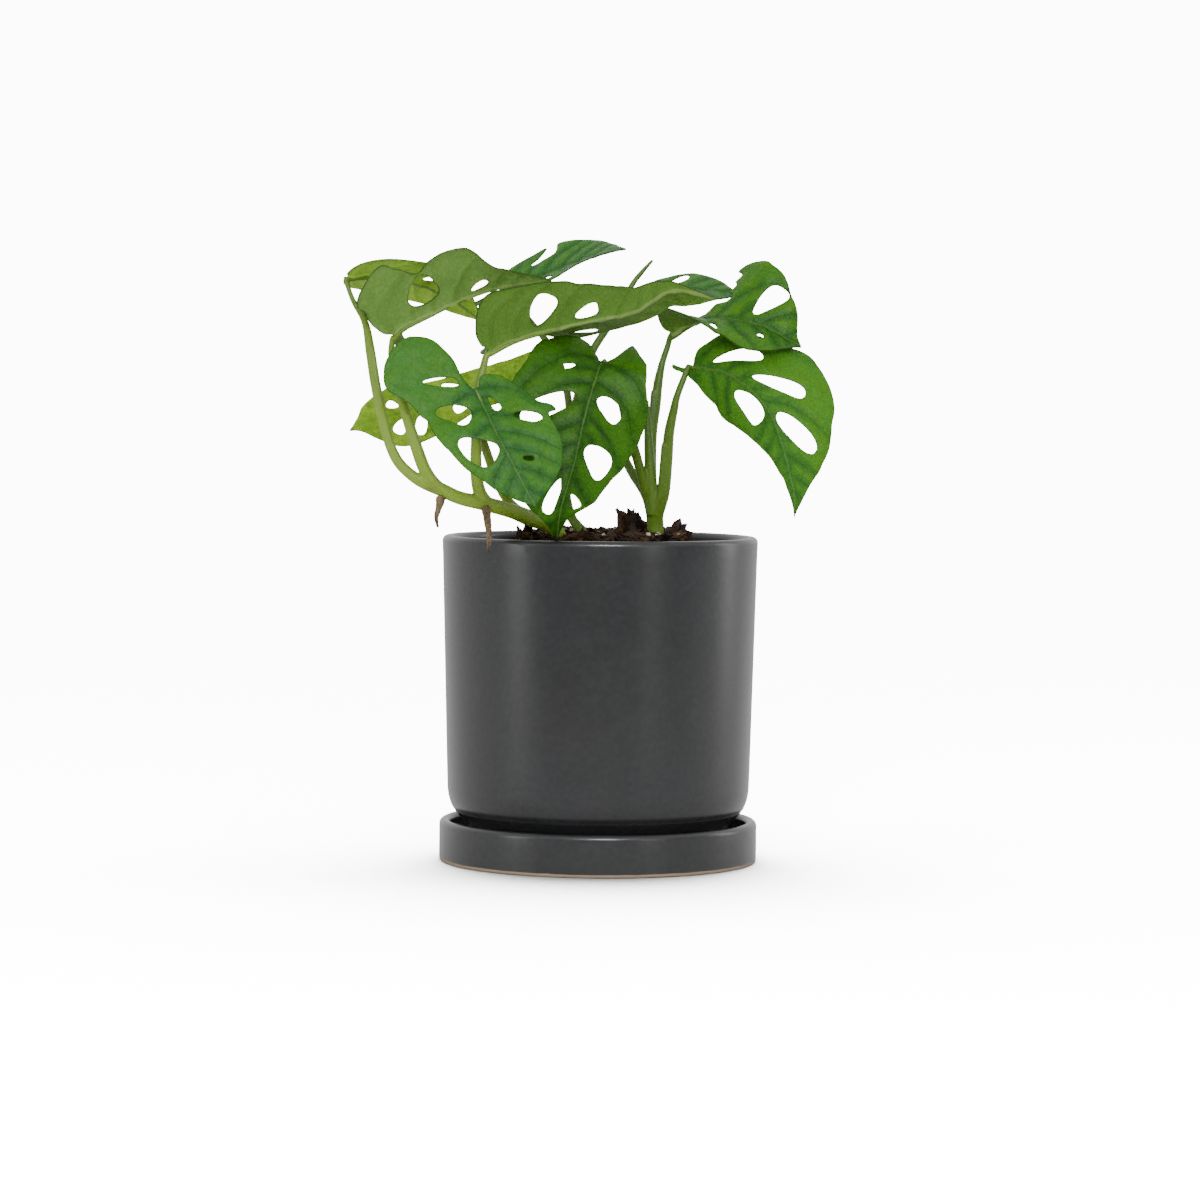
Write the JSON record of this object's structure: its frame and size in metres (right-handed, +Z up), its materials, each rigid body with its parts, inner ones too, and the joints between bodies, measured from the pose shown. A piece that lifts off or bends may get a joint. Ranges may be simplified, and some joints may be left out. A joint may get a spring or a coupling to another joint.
{
  "type": "potted monstera adansonii",
  "caption": "Young monstera adansonii with holed leaves on long petioles, standing in a charcoal ceramic cylinder pot with a matching saucer.",
  "frame": {"origin": "on the ground under the pot's axis, in the middle of the saucer's flat underside", "axes": "+Z up along the pot's axis, +X to the viewer's right, +Y away from the viewer"},
  "size_m": [0.1996, 0.1459, 0.258],
  "materials": {
    "glaze": "satin charcoal glaze",
    "soil": "moist bark and peat mix",
    "blade": "living leaf, soft sheen",
    "stem": "living green stem",
    "root": "dry aerial root"
  },
  "bodies": {
    "root": {"saucer": "glaze", "pot": "glaze", "soil": "soil", "vine": "stem", "crown": "stem", "back_stem": "stem", "aerial_root_left": "root", "aerial_root_right": "root", "leaf_front_right": "blade", "leaf_front_centre": "blade", "leaf_front_left": "blade", "leaf_centre_long": "blade", "leaf_upper_left": "blade", "leaf_upper_right": "blade", "leaf_low_back": "blade", "leaf_top_back": "blade", "leaf_right_back": "blade", "leaf_far_left": "blade"}
  },
  "joints": []
}
